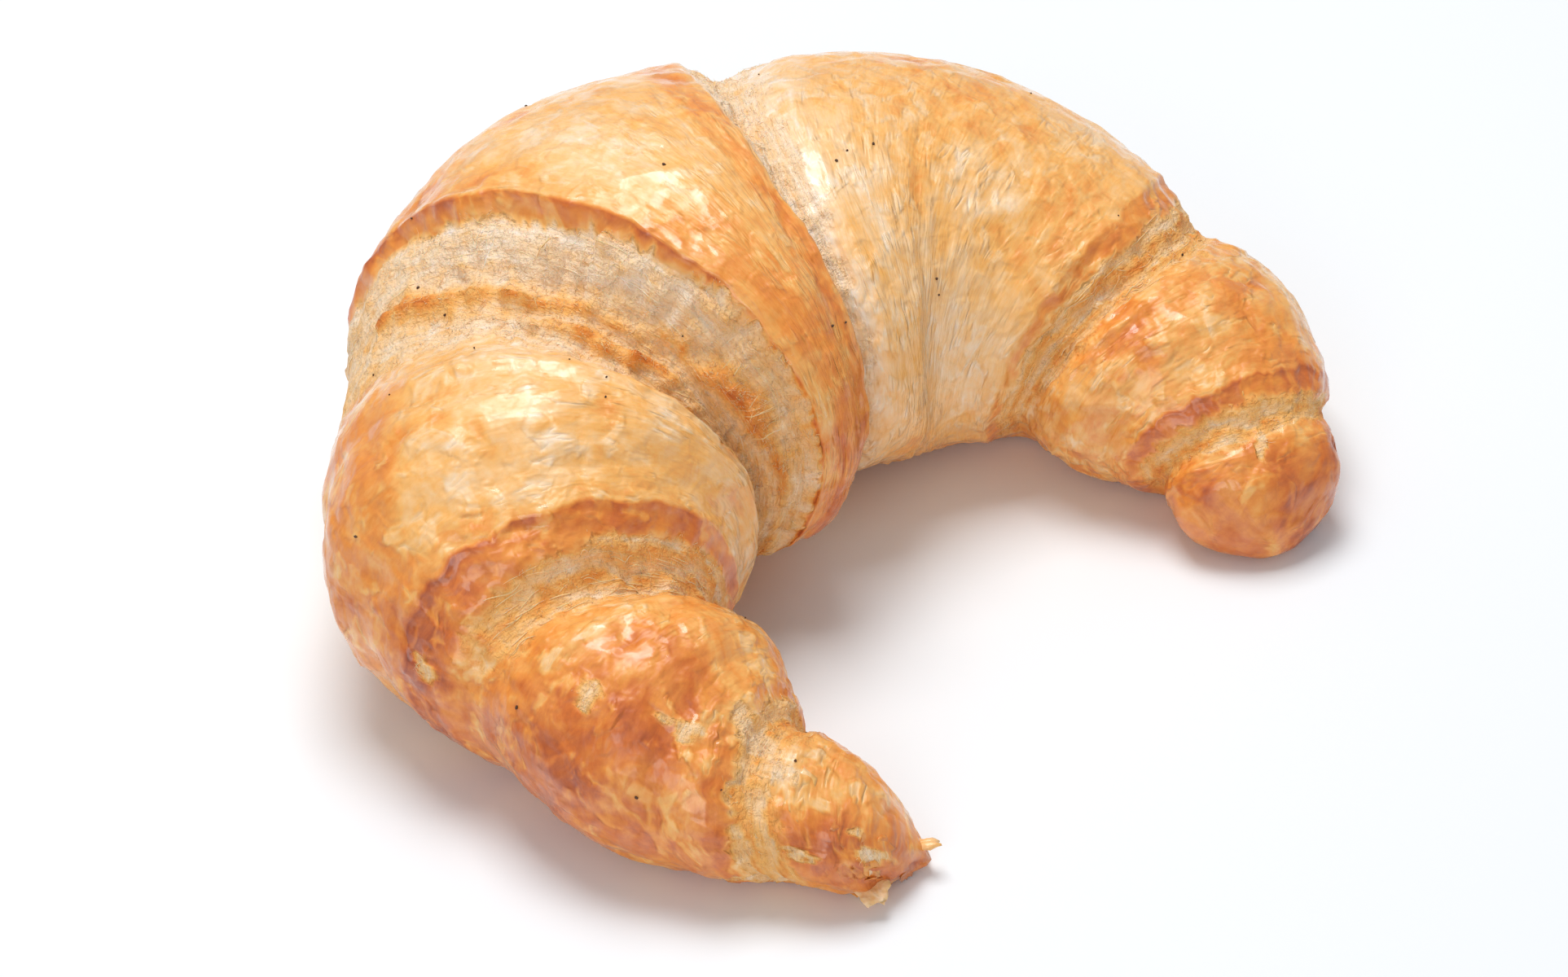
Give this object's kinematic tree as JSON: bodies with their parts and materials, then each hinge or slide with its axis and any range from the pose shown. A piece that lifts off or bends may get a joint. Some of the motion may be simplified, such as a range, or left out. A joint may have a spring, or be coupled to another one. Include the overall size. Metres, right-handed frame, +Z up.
{
  "type": "croissant",
  "caption": "Baked butter croissant: a roll of laminated dough bent into a crescent, with overlapping wraps, browned crust and torn flaky sides.",
  "frame": {"origin": "under the middle of the croissant's outline, on the plane that it rests on", "axes": "+X across the crescent from the slender arm to the blunt arm, -Y from the middle wrap towards the two tips, +Z up"},
  "size_m": [0.1496, 0.1251, 0.0626],
  "materials": {
    "crust": "egg-washed golden-brown baked crust, glossy on the crowns, matt and pale where the dough is torn"
  },
  "bodies": {
    "root": {"croissant": "crust"}
  },
  "joints": []
}
